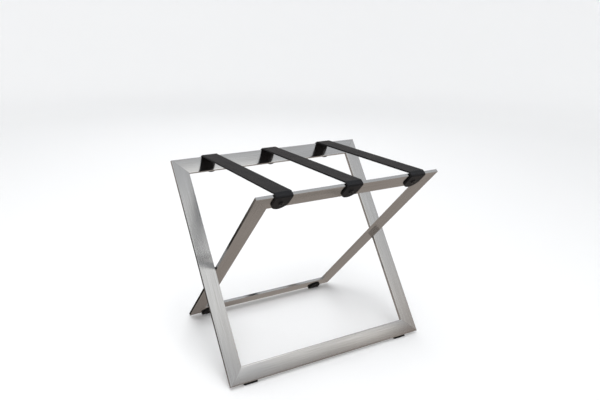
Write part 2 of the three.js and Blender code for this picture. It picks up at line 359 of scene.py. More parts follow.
def backdrop_grid():
    """A disc turned up at its rim by a quarter of a circle, then upright: radius and height by row."""
    bend = np.linspace(0, math.pi / 2, BACKDROP_ROWS)
    bend_radius = FLOOR_RADIUS + BACKDROP_RADIUS * np.sin(bend)
    bend_height = BACKDROP_RADIUS * (1 - np.cos(bend))
    radius = np.concatenate([FLOOR_RINGS, bend_radius, [FLOOR_RADIUS + BACKDROP_RADIUS]])
    height = np.concatenate([np.zeros(len(FLOOR_RINGS)), bend_height, [BACKDROP_HEIGHT]])
    angle = np.linspace(0, 2 * math.pi, BACKDROP_COLUMNS, endpoint=False)
    x = radius[:, None] * np.cos(angle)
    y = radius[:, None] * np.sin(angle)
    return np.stack([x, y, np.broadcast_to(height[:, None], x.shape)], axis=-1)


floor = make_piece("studio_floor", backdrop_grid())
floor.data.flip_normals()
floor.visible_glossy = False
print("floor", [round(size, 2) for size in floor.dimensions])

# %% White paper
WHITE = (1, 1, 1, 1)
PAPER_TONE = (0.83, 0.83, 0.83, 1)
PAPER_ROUGH = 0.9
PAPER_GLOW_REACH = (0.3, 6.0)
PAPER_GLOW = (0.0, 0.22)


def studio_paper():
    """White paper whose own glow grows with the distance from the rack."""
    material, tree, shader = new_material("studio_paper")
    glow = ramp(tree, length_of(tree, object_place(tree)), *PAPER_GLOW_REACH, *PAPER_GLOW)
    feed(tree, shader, {"Base Color": PAPER_TONE, "Roughness": PAPER_ROUGH})
    feed(tree, shader, {"Emission Color": WHITE, "Emission Strength": glow})
    return material


floor.data.materials.append(studio_paper())
print("paper glows by", PAPER_GLOW[1], "at the wall")

# %% Glow of the room
GLOW_ABOVE = (0.66, 0.68, 0.705, 1)
GLOW_BELOW = (0.40, 0.357, 0.325, 1)
GLOW_TURNS = (0.39, 0.445)
WINDOW_GLOW = (0.66, 0.665, 0.67, 1)
# Each patch: the direction of its middle, how much taller than wide it is, the angles in degrees at
# which it starts to fade and ends, and its glow. A later patch covers an earlier one.
PATCHES = {
    "front_window": ((0.05, -1.0, 0.02), 1.0, 3, 24, WINDOW_GLOW),
    "back_window": ((0.0, 1.0, 0.02), 1.0, 3, 24, WINDOW_GLOW),
    "left_window": ((-1.0, 0.0, -0.12), 1.0, 3, 20, WINDOW_GLOW),
    "right_window": ((1.0, 0.0, -0.12), 1.0, 3, 20, WINDOW_GLOW),
    "upper_softbox": ((0.37, -0.65, 0.66), 0.7, 7, 14, (1.40, 1.41, 1.40, 1)),
    "left_softbox": ((0.53, -0.68, 0.515), 0.7, 4.5, 7.5, (1.12, 1.11, 1.08, 1)),
    "right_softbox": ((0.605, -0.665, 0.455), 0.8, 2.5, 5, (1.32, 1.30, 1.26, 1)),
    "warm_front": ((0.48, -0.83, 0.27), 0.6, 9, 13, (0.21, 0.18, 0.16, 1)),
    "warm_corner": ((0.73, -0.61, 0.30), 1.0, 4, 8, (0.24, 0.18, 0.145, 1)),
    "under_rack": ((0.28, 0.33, -0.90), 1.0, 5, 12, (0.19, 0.165, 0.15, 1)),
    "dark_side": ((-0.39, 0.79, -0.475), 2.0, 5.5, 10, (0.006, 0.006, 0.006, 1)),
}

room = bpy.data.worlds.new("studio_room")
room.use_nodes = True
scene.world = room
air = room.node_tree
direction = add_node(air, "TexCoord").outputs["Generated"]
rise = add_node(air, "SeparateXYZ", {0: direction}).outputs["Z"]
glow = mix_colour(air, ramp(air, rise, *GLOW_TURNS), GLOW_BELOW, GLOW_ABOVE)
for middle, tall, fade, end, tone in PATCHES.values():
    unit = tuple(np.array(middle) / np.linalg.norm(middle))
    offset = combine(air, "SUBTRACT", direction, unit, "VectorMath")
    reach = length_of(air, combine(air, "MULTIPLY", offset, (1, 1, 1 / tall), "VectorMath"))
    share = ramp(air, reach, math.radians(fade), math.radians(end), 1, 0)
    glow = mix_colour(air, share, glow, tone)
feed(air, air.nodes["Background"], {"Color": glow})
print("patches of glow:", list(PATCHES))

# %% Soft panels
PANELS = {
    "top_panel": {"place": (-0.4, -0.3, 2.6), "size": (1.8, 1.8), "watts": 42},
    "back_panel": {"place": (1.2, 2.2, 2.2), "size": (2.0, 1.4), "watts": 16},
}

for panel_name, panel in PANELS.items():
    light = bpy.data.lights.new(panel_name, "AREA")
    light.shape = "RECTANGLE"
    light.size, light.size_y = panel["size"]
    light.energy = panel["watts"]
    lamp = bpy.data.objects.new(panel_name, light)
    scene.collection.objects.link(lamp)
    lamp.location = panel["place"]
    lamp.visible_glossy = False
    aim = Vector(pivot) - lamp.location
    lamp.rotation_euler = aim.to_track_quat("-Z", "Y").to_euler()
scene.view_settings.view_transform = "Standard"
print("panels:", list(PANELS))

# %% [markdown]
# ## Brushed steel
# The bars were ground along their length with a belt, which leaves countless fine grooves. Light
# spreads across the grooves and hardly along them, so highlights are drawn out into streaks. A plain
# rough metal can't show that. The shader's anisotropy does, with a tangent from the bar's own map,
# which runs along the bar, and stretched noise adds the grooves that are wide enough to see. The
# legs' faces are ground coarser, and the shading rolls each face a little more than its mesh does.

# %% Patterns and tints


def stretched_noise(tree, place, scale, detail=2.0):
    """Noise read at a place on the surface, with its own scale along and across."""
    mapped = add_node(tree, "Mapping", {"Vector": place, "Scale": scale}).outputs[0]
    return add_node(tree, "TexNoise", {"Vector": mapped, "Scale": 1.0, "Detail": detail}).outputs[0]


def tinted(tree, colour, tints, patterns):
    """A colour with tints laid over it in turn. Each tint gives the pattern that lays it on, the
    pattern's values between which its share changes, that share at both ends, and its colour."""
    for pattern, low, high, share_low, share_high, tint in tints:
        share = ramp(tree, patterns[pattern], low, high, share_low, share_high)
        colour = mix_colour(tree, share, colour, tint)
    return colour


# The streaks on the steel: scale along and across the bar, and detail.
STEEL_STREAKS = {
    "fine": ((22, 5200, 1), 2.0),
    "hair": ((9, 1700, 1), 1.0),
    "broad": ((6, 480, 1), 3.0),
    "sweep": ((3, 90, 1), 1.0),
}
STEEL_CLOUD = ((9, 9, 9), 3.0)
STEEL_TONE = (0.58, 0.575, 0.57, 1)
STEEL_TINTS = [
    ("sweep", 0.3, 0.7, 0, 1, (0.615, 0.612, 0.607, 1)),
    ("broad", 0.3, 0.7, 0, 0.3, (0.535, 0.527, 0.517, 1)),
    ("fine", 0.35, 0.75, 0, 0.35, (0.68, 0.675, 0.668, 1)),
    ("hair", 0.4, 0.62, 0.45, 0, (0.43, 0.42, 0.41, 1)),
    ("cloud", 0.4, 0.75, 0, 0.25, (0.48, 0.465, 0.45, 1)),
    # edge: a painted highlight, the ground edges lightened to stand in for the light that they catch
    ("edge", 0, 1, 0, 0.2, (0.75, 0.74, 0.73, 1)),
    ("seam", 0, 1, 0, 0.3, (0.30, 0.28, 0.26, 1)),
]
print("steel has", len(STEEL_STREAKS), "widths of streaks and", len(STEEL_TINTS), "tints")

# %% Brushed steel material
GROUND_FINE = (0.12, 0.18)
GROUND_COARSE = (0.21, 0.265)
STREAK_SUM = (0.6, 1.4)
GROOVE_STRENGTH, GROOVE_DEPTH = 0.10, 0.02 * MM
ROLL = 0.25 * MM
DRAWN_OUT = 0.9
DRAWN_TURN = 0.25


def brushed_steel():
    """Steel with grooves along U, tinted by streaks, a wide cloud and welds. The ground edges carry a
    painted highlight. The sum of fine and broad streaks moves its gloss and surface. A face drops with
    the square across it."""
    material, tree, shader = new_material("brushed_steel")
    along = add_node(tree, "UVMap", uv_map="surface").outputs[0]
    patterns = {name: stretched_noise(tree, along, *facts) for name, facts in STEEL_STREAKS.items()}
    patterns["cloud"] = stretched_noise(tree, object_place(tree), *STEEL_CLOUD)
    patterns["edge"] = mark_of(tree, "edge")
    patterns["seam"] = mark_of(tree, "seam")
    streaks = combine(tree, "ADD", patterns["fine"], patterns["broad"])
    coarse = mark_of(tree, "coarse")
    gloss = {
        "Value": streaks,
        "From Min": STREAK_SUM[0],
        "From Max": STREAK_SUM[1],
        "To Min": ramp(tree, coarse, 0, 1, GROUND_FINE[0], GROUND_COARSE[0]),
        "To Max": ramp(tree, coarse, 0, 1, GROUND_FINE[1], GROUND_COARSE[1]),
    }
    across = mark_of(tree, "across")
    rolled = bump(tree, combine(tree, "MULTIPLY", across, across), 1.0, ROLL, sunk=True)
    grooved = bump(tree, streaks, GROOVE_STRENGTH, GROOVE_DEPTH)
    feed(tree, grooved, {"Normal": rolled.outputs[0]})
    feed(tree, shader, {
        "Base Color": tinted(tree, STEEL_TONE, STEEL_TINTS, patterns),
        "Roughness": add_node(tree, "MapRange", gloss).outputs[0],
        "Normal": grooved.outputs[0],
        "Tangent": add_node(tree, "Tangent", direction_type="UV_MAP", uv_map="surface").outputs[0],
        "Metallic": 1.0,
        "Anisotropic": DRAWN_OUT,
        "Anisotropic Rotation": DRAWN_TURN,
    })
    return material


steel = brushed_steel()
print(steel.name, "has", len(steel.node_tree.nodes), "nodes")

# %% [markdown]
# ## Mitred bars
# Each frame is four lengths of flat bar, cut at 45 degrees, welded and ground flush, so only the turn
# of the brushing shows the joint. A box would be too sharp and too flat: the belt rounds the edges
# and leaves the faces a trace crowned, which is what makes the light roll across them. So a profile
# with round edges and a slight crown is carried along the bar, and its ends slide to the mitre. Smooth
# shading averages the faces at each point, so one more column beside each edge keeps the bar's narrow
# sides looking flat.

# %% Profile of a bar
EDGE_RADIUS = 0.4 * MM
EDGE_HOLD = 0.3 * MM
EDGE_STEPS = 4
CROWN = 0.2 * MM
CROWN_POWER = 2.2
FACE_STEPS = 14


def bar_profile():
    """The bar's outline across its length, as points (across, out): two crowned faces, whose drop
    grows with a power of the distance from the middle, joined by four quarter circles, each with
    one more point beside it on the narrow side."""
    flat = BAR_WIDTH / 2 - EDGE_RADIUS
    turn = np.linspace(0, math.pi / 2, EDGE_STEPS + 1)
    drop = CROWN * np.abs(np.linspace(-1, 1, FACE_STEPS + 1)) ** CROWN_POWER
    side = BAR_FACE - CROWN - EDGE_RADIUS
    corner = np.stack([flat + EDGE_RADIUS * np.cos(turn), side + EDGE_RADIUS * np.sin(turn)], axis=-1)
    corner = np.concatenate([[[BAR_WIDTH / 2, side - EDGE_HOLD]], corner])
    face = np.stack([np.linspace(flat, -flat, FACE_STEPS + 1), BAR_FACE - drop], axis=-1)[1:-1]
    other = (corner * (-1, 1))[::-1]
    half = np.concatenate([corner, face, other])
    return np.concatenate([half, -half])


profile = bar_profile()
profile_across, profile_out = profile.T
print("a bar's profile has", len(profile), "points")

# %% Grid and marks of a bar
END_STEPS = np.array([0, 0.5, 1.5, 5, 15, 50]) * MM
SEAM_SHARES = np.array([1, 0.4])


def bar_grid(length):
    """Points (along, across, out) of a bar that is longest at its outer edge: each end of a row lies
    inwards of the outer edge's end by its distance from that edge, which makes the mitre."""
    end = length / 2 - (BAR_WIDTH / 2 - profile_across)
    low = END_STEPS[:, None] - end
    along = np.concatenate([low, -low[::-1]])
    shape = along.shape
    return along, np.broadcast_to(profile_across, shape), np.broadcast_to(profile_out, shape)


def bar_marks(rows, roll, coarse):
    """Numbers at a bar's points: 1 on a ground edge, the share of the weld at the ends, the place
    across from -1 to 1 times how much the face is rolled, and how coarse the face is ground."""
    columns = len(profile)
    half = columns // 2
    starts = np.array([1, half - EDGE_STEPS - 2, half + 1, columns - EDGE_STEPS - 2])
    edge = np.zeros(columns)
    edge[(starts[:, None] + np.arange(EDGE_STEPS + 1)).ravel()] = 1
    seam = np.zeros(rows)
    seam[: len(SEAM_SHARES)] = SEAM_SHARES
    seam[-len(SEAM_SHARES) :] = SEAM_SHARES[::-1]
    across = roll * profile_across / (BAR_WIDTH / 2)
    on_face = np.abs(profile_out) > BAR_FACE - CROWN - EDGE_RADIUS / 2
    return {"edge": edge, "seam": seam[:, None], "across": across, "coarse": coarse * on_face}


print("rows at a mitre, in mm:", np.round(END_STEPS / MM, 1).tolist())

# %% Laying a bar
profile_steps = np.linalg.norm(np.diff(profile, axis=0, append=profile[:1]), axis=1)
profile_around = np.concatenate([[0], np.cumsum(profile_steps)])
print(f"round a bar it is {profile_around[-1] / MM:.1f} mm")


def close_ends(piece):
    """Fills the open rings at the two ends of a piece."""
    shape = bmesh.new()
    shape.from_mesh(piece.data)
    rim = [edge for edge in shape.edges if edge.is_boundary]
    bmesh.ops.holes_fill(shape, edges=rim, sides=0)
    bmesh.ops.recalc_face_normals(shape, faces=shape.faces)
    shape.to_mesh(piece.data)
    shape.free()


def add_bar(name, body, centre, axes, length, number, roll, coarse):
    """A bar laid from its middle on the directions along, across and out of it. Its map's U runs along
    it and V around it, moved by its number, so that no two bars look the same."""
    along, across, out = bar_grid(length)
    along_axis, across_axis, out_axis = axes
    points = centre + along[..., None] * along_axis + across[..., None] * across_axis
    points = points + out[..., None] * out_axis
    u = np.concatenate([along, along[:, :1]], axis=1) + number
    v = np.broadcast_to(profile_around + number, u.shape)
    bar = make_piece(name + "_bar", points, u=u, v=v, marks=bar_marks(len(along), roll, coarse))
    close_ends(bar)
    return dress(bar, steel, name, body)


# %% Eight bars
LEG_FINISH = {"roll": 0.45, "coarse": 1}
RAIL_FINISH = {"roll": 1.0, "coarse": 0}
LEG_LENGTH = LEG_ABOVE + LEG_BELOW
LEG_MIDDLE = (LEG_ABOVE - LEG_BELOW) / 2
RAILS = {"top": (LEG_ABOVE - BAR_WIDTH / 2, 1), "bottom": (BAR_WIDTH / 2 - LEG_BELOW, -1)}

bars = {}
for frame_name, facts in FRAMES.items():
    up_axis, out_axis = frame_axes(frame_name)
    body = frame_name + "_frame"
    for side_name, side in SIDES.items():
        name = f"{frame_name}_{side_name}_leg"
        centre = on_frame(frame_name, side * (facts["half"] - BAR_WIDTH / 2), LEG_MIDDLE, 0)
        axes = (up_axis, side * ACROSS, out_axis)
        bars[name] = add_bar(name, body, centre, axes, LEG_LENGTH, len(bars), **LEG_FINISH)
    for end_name, (level, outwards) in RAILS.items():
        name = f"{frame_name}_{end_name}_rail"
        centre = on_frame(frame_name, 0, level, 0)
        axes = (ACROSS, outwards * up_axis, out_axis)
        bars[name] = add_bar(name, body, centre, axes, 2 * facts["half"], len(bars), **RAIL_FINISH)
print("bars:", {name: len(bar.data.polygons) for name, bar in bars.items()})

# %% [markdown]
# ## Turned pieces
# Pins, washers and screw heads are all round, so each is a profile turned about an axis. The drive of
# a screw isn't round: it is a hexagon. Instead of cutting it with a boolean, the rings of the turned
# grid that lie in the drive are pulled from a circle to a hexagon, which keeps the mesh clean.

# %% Turning a profile
TURN_STEPS = 48


def turned_grid(radius, height, hexed=0):
    """Points (side, side, axis) of a profile turned about an axis. Where hexed is 1 a ring is a
    hexagon with its corners at the radius, and where it is 0 a circle."""
    angle = np.linspace(0, 2 * math.pi, TURN_STEPS, endpoint=False)
    from_flat = angle % (math.pi / 3) - math.pi / 6
    hexagon = math.cos(math.pi / 6) / np.cos(from_flat)
    radius, height, share = (row[:, None] for row in np.broadcast_arrays(radius, height, hexed))
    ring = radius * (1 + share * (hexagon - 1))
    level = np.broadcast_to(height, ring.shape)
    return np.stack([ring * np.cos(angle), ring * np.sin(angle), level], axis=-1)


print("turned pieces have", TURN_STEPS, "columns")

# %% [markdown]
# ## Pivots
# Each side turns on a pin that runs through the legs, with a thin nylon washer between the frames. The
# bore's mouth is the one hole that a grid can't give, so a boolean cuts it. The pin's end has a small
# hexagon drive, and the lathe has left rings on it.

# %% Turned steel
PIN_RINGS = 5200
PIN_TONES = ((0.40, 0.39, 0.375, 1), (0.58, 0.57, 0.55, 1))
RING_SPREAD = (0.3, 0.7)
PIN_ROUGH = (0.28, 0.42)
RING_STRENGTH, RING_DEPTH = 0.2, 0.02 * MM


def turned_steel():
    """Steel with rings about the pivot line: noise read along the distance from that line."""
    material, tree, shader = new_material("turned_steel")
    from_pivot = combine(tree, "SUBTRACT", object_place(tree), tuple(pivot), "VectorMath")
    from_line = length_of(tree, combine(tree, "MULTIPLY", from_pivot, (0, 1, 1), "VectorMath"))
    reach = {"W": combine(tree, "MULTIPLY", from_line, PIN_RINGS), "Scale": 1.0, "Detail": 1.0}
    rings = add_node(tree, "TexNoise", reach, noise_dimensions="1D").outputs[0]
    feed(tree, shader, {
        "Base Color": mix_colour(tree, rings, *PIN_TONES),
        "Roughness": ramp(tree, rings, *RING_SPREAD, *PIN_ROUGH),
        "Normal": bump(tree, rings, RING_STRENGTH, RING_DEPTH).outputs[0],
        "Metallic": 1.0,
    })
    return material


pin_steel = turned_steel()
print(pin_steel.name, "has", len(pin_steel.node_tree.nodes), "nodes")

# %% Black finishes
WIDE_SPECKLE = (90, 90, 90)
SPECKLE_SPREAD = (0.3, 0.75)
SPECKLE_SUM = (0.6, 1.4)
SPECKLE_STRENGTH = 0.35


def speckled_black(name, dark, light, grain, rough, metallic=0.0, depth=0.05 * MM, shine=0.5):
    """A black finish whose colour, gloss and surface follow a fine and a wide noise."""
    material, tree, shader = new_material(name)
    place = object_place(tree)
    fine = stretched_noise(tree, place, (grain, grain, grain), 3.0)
    wide = stretched_noise(tree, place, WIDE_SPECKLE, 2.0)
    feed(tree, shader, {
        "Base Color": mix_colour(tree, ramp(tree, wide, *SPECKLE_SPREAD), dark, light),
        "Roughness": ramp(tree, combine(tree, "ADD", fine, wide), *SPECKLE_SUM, *rough),
        "Normal": bump(tree, fine, SPECKLE_STRENGTH, depth).outputs[0],
        "Metallic": metallic,
        "Specular IOR Level": shine,
    })
    return material


NYLON_TONES = ((0.010, 0.010, 0.011, 1), (0.018, 0.018, 0.019, 1))
nylon = speckled_black("washer_nylon", *NYLON_TONES, grain=2600, rough=(0.42, 0.56))
print("washers are", nylon.name)

# %% Shapes of pin, washer and bore
PIN_RADIUS = 2.5 * MM
PIN_CHAMFER = 0.5 * MM
PIN_DRIVE = 1.35 * MM
PIN_DRIVE_MOUTH = PIN_DRIVE * 1.1
PIN_MOUTH_HEXED = 0.5
PIN_DRIVE_EASE = 0.1 * MM
PIN_DRIVE_DEPTH = 1.6 * MM
PIN_DRIVE_TIP = 0.4 * MM
PIN_BORE = 2.8 * MM
BORE_DEPTH = 6 * MM
BORE_START = 1 * MM
WASHER_EASE = 0.35 * MM
WASHER_STEPS = 5


def pin_grid(length):
    """A pin with a chamfer at both ends and a drive in its outer end: radius, height, hexed by row."""
    neck = PIN_RADIUS - PIN_CHAMFER
    drive_floor = length - PIN_DRIVE_DEPTH
    rows = np.array([
        (0, 0, 0),
        (neck, 0, 0),
        (PIN_RADIUS, PIN_CHAMFER, 0),
        (PIN_RADIUS, length - PIN_CHAMFER, 0),
        (neck, length, 0),
        (PIN_DRIVE_MOUTH, length, PIN_MOUTH_HEXED),
        (PIN_DRIVE, length - PIN_DRIVE_EASE, 1),
        (PIN_DRIVE, drive_floor, 1),
        (0, drive_floor - PIN_DRIVE_TIP, 1),
    ])
    return turned_grid(*rows.T)


def washer_grid(thick, rim):
    """A flat ring whose rim is rounded by two quarter circles."""
    quarter = np.linspace(0, math.pi / 2, WASHER_STEPS)
    turn = np.concatenate([-quarter[::-1], quarter])
    centre = np.repeat([-1, 1], WASHER_STEPS) * (thick / 2 - WASHER_EASE)
    radius = [PIN_BORE, *(rim - WASHER_EASE + WASHER_EASE * np.cos(turn)), PIN_BORE]
    height = [-thick / 2, *(centre + WASHER_EASE * np.sin(turn)), thick / 2]
    return turned_grid(radius, height)


def along_x(grid, start, side):
    """Turned points laid along X from a place, with their axis pointing outwards on that side."""
    return pivot + np.stack([start + side * grid[..., 2], grid[..., 0], side * grid[..., 1]], axis=-1)


def cut_bore(piece, side, face):
    """Cuts a round blind hole on the pivot line into the outer edge of a leg."""
    depth = [-BORE_DEPTH, -BORE_DEPTH, BORE_START, BORE_START]
    drill = turned_grid([0, PIN_BORE, PIN_BORE, 0], depth)
    tool = make_piece("bore_tool", along_x(drill, face, side))
    bore = piece.modifiers.new("bore", "BOOLEAN")
    bore.operation, bore.solver, bore.object = "DIFFERENCE", "EXACT", tool
    cut = piece.evaluated_get(bpy.context.evaluated_depsgraph_get())
    piece.data = bpy.data.meshes.new_from_object(cut)
    piece.data.set_sharp_from_angle(angle=SMOOTH_UP_TO)
    piece.modifiers.clear()
    bpy.data.objects.remove(tool)


print(f"pins of {2 * PIN_RADIUS / MM:.1f} mm in bores of {2 * PIN_BORE / MM:.1f} mm")

# %% Pins, washers and their bores
for side_name, side in SIDES.items():
    leg = bars[f"outer_{side_name}_leg"]
    cut_bore(leg, side, side * FRAMES["outer"]["half"])
    pin_low, pin_high = solid_corners("pivot_pin_" + side_name)
    pin_start = pin_low[0] if side > 0 else pin_high[0]
    pin_points = along_x(pin_grid(pin_high[0] - pin_low[0]), pin_start, side)
    pin = make_piece(f"pivot_pin_{side_name}_turned", pin_points)
    dress(pin, pin_steel, "pivot_pin_" + side_name, "inner_frame")
    ring_low, ring_high = solid_corners("pivot_washer_" + side_name)
    ring_grid = washer_grid(ring_high[0] - ring_low[0], (ring_high[2] - ring_low[2]) / 2)
    ring_points = along_x(ring_grid, (ring_low[0] + ring_high[0]) / 2, side)
    washer = make_piece(f"pivot_washer_{side_name}_ring", ring_points, ring=True)
    dress(washer, nylon, "pivot_washer_" + side_name, "inner_frame")
    print(side_name, "leg now has", len(leg.data.polygons), "faces")

# %% [markdown]
# ## Leather straps
# A strap is a strip of thick black leather with half-round ends. It lies level between the top rails,
# turns over the edge of each one and is screwed to the rail's outer side. Cloth simulation would only
# crumple it: leather this thick bends in one direction, like a strip of card. So its flat shape is
# worked out first, as a profile carried round the strip's outline, and is then laid along the line
# that the strap follows over the rails.

# %% The line that a strap follows
TAB_OVERHANG = 1 * MM
STRAP_MID = SEAT_GAP + STRAP_THICK / 2
BEND_STEPS = 10


def strap_line():
    """Half of a strap's middle line, from its middle to the tip of its end: distance along it, Y and
    Z from the pivot, and the angle of its outer side. It is level to the rail's near corner, turns
    about that corner and about the far one, then runs down the rail's outer side."""
    up_axis, out_axis = frame_axes("outer")
    near = (LEG_ABOVE * up_axis - BAR_FACE * out_axis)[1:]
    far = (LEG_ABOVE * up_axis + BAR_FACE * out_axis)[1:]
    first = np.linspace(math.pi / 2, math.pi / 2 - LEAN, BEND_STEPS)
    second = np.linspace(math.pi / 2 - LEAN, -LEAN, 2 * BEND_STEPS)
    tip_up = LEG_ABOVE - BAR_WIDTH - TAB_OVERHANG
    tip = (tip_up * up_axis + (BAR_FACE + STRAP_MID) * out_axis)[1:]
    arcs = [
        corner + STRAP_MID * np.stack([np.cos(turn), np.sin(turn)], axis=-1)
        for corner, turn in ((near, first), (far, second))
    ]
    places = np.concatenate([[[0, near[1] + STRAP_MID]], *arcs, [tip]])
    facing = np.concatenate([[math.pi / 2], first, second, [-LEAN]])
    distance = np.concatenate([[0], np.cumsum(np.linalg.norm(np.diff(places, axis=0), axis=1))])
    return distance, places, facing


line_distance, line_places, line_facing = strap_line()
HALF_STRAP = line_distance[-1]
print(f"a strap is {2 * HALF_STRAP / MM:.1f} mm long before it is bent")

# %% The strap's flat shape
STRAP_EDGE = 0.9 * MM
STRAP_EDGE_ROWS = 13
STRAP_FACE_ROWS = np.array([0, 0.3, 0.6, 0.85])
CUT_FADE = 0.5
END_ARC_STEPS = 28
LEVEL_STEPS = 60
TAB_STEPS = 10


def strap_outline():
    """Columns round a strip with half-round ends: the point of the spine that each belongs to, and
    its direction from the spine, across and along."""
    straight = HALF_STRAP - STRAP_WIDTH / 2
    level = np.linspace(0, line_distance[1], LEVEL_STEPS)
    tab = np.linspace(line_distance[-2], straight, TAB_STEPS)
    half = np.unique(np.concatenate([level, line_distance[1:-1], tab]))
    side = np.concatenate([-half[:0:-1], half])
    turn = np.linspace(0, math.pi, END_ARC_STEPS + 1)[1:-1]
    ends = np.full(len(turn), straight)
    spine = np.concatenate([side, ends, side[::-1], -ends])
    one = np.ones(len(side))
    across = np.concatenate([one, np.cos(turn), -one, -np.cos(turn)])
    along = np.concatenate([0 * one, np.sin(turn), 0 * one, -np.sin(turn)])
    return spine, across, along


def strap_profile():
    """Rows from the spine's upper side to its lower side: distance from the spine, height from the
    middle of the leather, and whether the row lies on the cut edge."""
    half, thick = STRAP_WIDTH / 2, STRAP_THICK / 2
    turn = np.linspace(math.pi / 2, -math.pi / 2, STRAP_EDGE_ROWS)
    rim_out = half - STRAP_EDGE + STRAP_EDGE * np.cos(turn)
    rim_high = np.sign(np.sin(turn)) * (thick - STRAP_EDGE) + STRAP_EDGE * np.sin(turn)
    face = half * STRAP_FACE_ROWS
    out = np.concatenate([face, rim_out, face[::-1]])
    high = np.concatenate([face * 0 + thick, rim_high, face * 0 - thick])
    cut = np.concatenate([face * 0, np.cos(turn) ** CUT_FADE, face * 0])
    return out, high, cut


print("a strap has", len(strap_profile()[0]), "rows of", len(strap_outline()[0]), "points")

# %% [markdown]
# ## How the straps would fold
# When the rack folds, its top rails come together and each strap goes slack. A plain blend between
# the frames would draw it out into a slanting curve that cuts through both rails. So each point gets
# its own share of the fold, which is kept as a mark on the strap; blended by these shares, the strap
# would hang as a narrow loop between the rails. A blended point keeps its distance from the pivot, so
# the loop is less deep than real leather's.

# %% The share of the fold at each point
LOOP_TURN = 30 * MM
LOOP_SHARE = 0.8
LOOP_POWER = 3
BEND_REACH = 7 * MM
FOLD_LIMIT = math.radians(frame["joints"][0]["range_deg"][1])


def strap_turn(flat_t):
    """The share of the fold that each point follows the outer frame through, from 0 at the front end
    to 1 at the back end. A point's angle about the pivot at the folding limit is chosen first: close
    to a rail, with a narrow turn at the middle. The share brings it there from its angle at rest."""
    end, rise = line_places[1]
    level = np.clip(flat_t, -end, end)
    rest_angle = np.arctan2(level, rise)
    end_angle = math.atan2(end, rise)
    slope = (level / end) ** LOOP_POWER
    loop = LOOP_SHARE * np.tanh(level / LOOP_TURN) + (1 - LOOP_SHARE) * slope
    folded_angle = FOLD_LIMIT / 2 + (end_angle - FOLD_LIMIT / 2) * loop
    return np.clip(1 - (folded_angle - rest_angle) / FOLD_LIMIT, 0, 1)


def strap_grid(x):
    """A strap's points: its flat shape laid along its line, which is mirrored at the middle."""
    spine, across, along = strap_outline()
    out, high, cut = strap_profile()
    flat_x = out[:, None] * across
    flat_t = spine + out[:, None] * along
    reach = np.abs(flat_t)
    facing = np.interp(reach, line_distance, line_facing)
    y = np.interp(reach, line_distance, line_places[:, 0]) + high[:, None] * np.cos(facing)
    z = np.interp(reach, line_distance, line_places[:, 1]) + high[:, None] * np.sin(facing)
    points = pivot + np.stack([x + flat_x, np.sign(flat_t) * y, z], axis=-1)
    bends = line_distance[[1, -2]].mean()
    bend = np.exp(-(((reach - bends) / BEND_REACH) ** 2))
    marks = {"cut_edge": cut[:, None], "bend": bend, "turn": strap_turn(flat_t)}
    return points, flat_x, flat_t, marks


print("folds by up to", round(math.degrees(FOLD_LIMIT)), "degrees")

# %% [markdown]
# ## Leather
# The leather is dyed black and has a fine pebbled grain, a soft gloss, and cut edges that are sealed
# smooth. Where it turns over a rail the grain is stretched and shows creases across the strap. The
# grain is a cell pattern read on the strap's flat shape, so that it bends with the leather.

# %% Leather material
GRAIN_CELLS = 760
GRAIN_WALL = 0.35
GRAIN_WARP, GRAIN_WARP_SCALE = 0.0016, 420.0
GRAIN_STRENGTH, GRAIN_DEPTH = 0.7, 0.15 * MM
WEAR = ((38, 22, 1), 4.0)
CREASES = ((60, 1500, 1), 3.0)
LEATHER_TONE = (0.0052, 0.0057, 0.0075, 1)
LEATHER_CUT = (0.007, 0.007, 0.0073, 1)
LEATHER_TINTS = [
    ("wear", 0.35, 0.75, 0, 1, (0.0094, 0.0099, 0.0122, 1)),
    # pebble: painted shade, the sunken walls between the grain's cells darkened as if shaded
    ("pebble", 0, 1, 0.55, 0, (0.0045, 0.0048, 0.006, 1)),
    ("crease", 0.2, 0.8, 0, 0.5, (0.030, 0.029, 0.029, 1)),
]
LEATHER_SUM = (0.3, 1.0)
LEATHER_ROUGH = (0.38, 0.55)
LEATHER_IOR = 1.48
LEATHER_SHINE = 0.25


def strap_leather():
    """Black leather: warped cells for the grain with painted shade in the furrows between them, noise
    for wear and gloss, creases in the bends.
    """
    material, tree, shader = new_material("strap_leather")
    flat = add_node(tree, "UVMap", uv_map="surface").outputs[0]
    noise = {"Vector": flat, "Scale": GRAIN_WARP_SCALE, "Detail": 2.0}
    warp = add_node(tree, "TexNoise", noise).outputs["Color"]
    grain = {"Vector": mix_colour(tree, GRAIN_WARP, flat, warp, "ADD"), "Scale": GRAIN_CELLS}
    cells = add_node(tree, "TexVoronoi", grain, feature="DISTANCE_TO_EDGE").outputs[0]
    pebble = ramp(tree, cells, 0.0, GRAIN_WALL)
    wear = stretched_noise(tree, flat, *WEAR)
    crease = combine(tree, "MULTIPLY", stretched_noise(tree, flat, *CREASES), mark_of(tree, "bend"))
    patterns = {"wear": wear, "pebble": pebble, "crease": crease}
    colour = tinted(tree, LEATHER_TONE, LEATHER_TINTS, patterns)
    raised = combine(tree, "ADD", pebble, crease)
    feed(tree, shader, {
        "Base Color": mix_colour(tree, mark_of(tree, "cut_edge"), colour, LEATHER_CUT),
        "Roughness": ramp(tree, combine(tree, "ADD", wear, cells), *LEATHER_SUM, *LEATHER_ROUGH),
        "Normal": bump(tree, raised, GRAIN_STRENGTH, GRAIN_DEPTH).outputs[0],
        "IOR": LEATHER_IOR,
        "Specular IOR Level": LEATHER_SHINE,
    })
    return material


leather = strap_leather()
print(leather.name, "has", len(leather.node_tree.nodes), "nodes")

